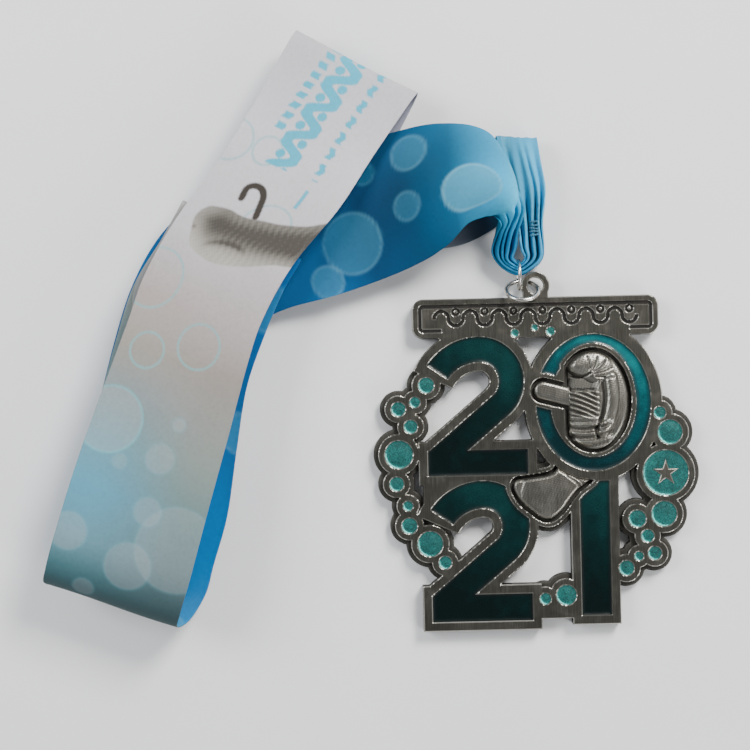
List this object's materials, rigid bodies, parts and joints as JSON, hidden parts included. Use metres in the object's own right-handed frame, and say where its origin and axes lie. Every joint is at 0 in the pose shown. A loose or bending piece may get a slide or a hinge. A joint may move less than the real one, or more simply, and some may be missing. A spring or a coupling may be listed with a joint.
{
  "type": "sports finisher medal",
  "caption": "Openwork die-cast finisher medal with numeral and bubble enamels, a sea-cow relief, two linked jump rings and a folded neck ribbon.",
  "frame": {"origin": "middle of the medal's flat back, near the centre of its numerals; the back lies at z = 0", "axes": "+X to the right seen from the front, +Y towards the hanging tab, +Z out of the front face"},
  "size_m": [0.1795, 0.1652, 0.0224],
  "materials": {
    "antique_nickel": "brushed antique nickel with blackened recesses",
    "antique_silver": "antique silver relief, worn bright on its high places",
    "dark_teal_enamel": "glossy translucent resin enamel, dark teal",
    "teal_enamel": "glossy translucent resin enamel, teal",
    "glitter_enamel": "glossy resin enamel with fine glitter, sea green",
    "bright_nickel": "bright nickel-plated wire",
    "printed_satin": "printed satin ribbon, white to blue",
    "thread": "polyester sewing thread"
  },
  "bodies": {
    "medal": {"medal_body": "antique_nickel", "sea_cow_relief": "antique_silver", "enamel_upper_two": "dark_teal_enamel", "enamel_zero": "teal_enamel", "enamel_lower_two": "dark_teal_enamel", "enamel_one": "dark_teal_enamel", "bubble_01": "glitter_enamel", "bubble_02": "glitter_enamel", "bubble_03": "glitter_enamel", "bubble_04": "glitter_enamel", "bubble_05": "glitter_enamel", "bubble_06": "glitter_enamel", "bubble_07": "glitter_enamel", "bubble_08": "glitter_enamel", "bubble_09": "glitter_enamel", "bubble_10": "glitter_enamel", "bubble_11": "glitter_enamel", "bubble_12": "glitter_enamel", "bubble_13": "glitter_enamel", "bubble_14": "glitter_enamel", "bubble_15": "glitter_enamel", "bubble_16": "glitter_enamel", "bubble_17": "glitter_enamel", "bubble_18": "glitter_enamel", "bubble_19": "glitter_enamel", "bubble_20": "glitter_enamel", "bubble_21": "glitter_enamel", "bubble_22": "glitter_enamel", "bubble_23": "glitter_enamel", "bubble_24": "glitter_enamel"},
    "medal_link": {"medal_ring": "bright_nickel"},
    "ribbon_link": {"ribbon_ring": "bright_nickel"},
    "ribbon": {"neck_ribbon": "printed_satin", "ribbon_stitching": "thread"}
  },
  "joints": [
    {"name": "medal_swing", "type": "hinge", "parent": "medal", "child": "medal_link", "pos_m": [0.0011, 0.0482, 0.0037], "axis": [0, 0, 1], "range_deg": [-60, 8]},
    {"name": "ring_fold", "type": "hinge", "parent": "medal_link", "child": "ribbon_link", "pos_m": [-0.0032, 0.0496, 0.002], "axis": [1, 0, 0], "range_deg": [-15, 8]},
    {"name": "ribbon_lift", "type": "hinge", "parent": "ribbon_link", "child": "ribbon", "pos_m": [-0.0032, 0.05285, 0.00445], "axis": [1, 0, 0], "range_deg": [-20, 70]}
  ]
}
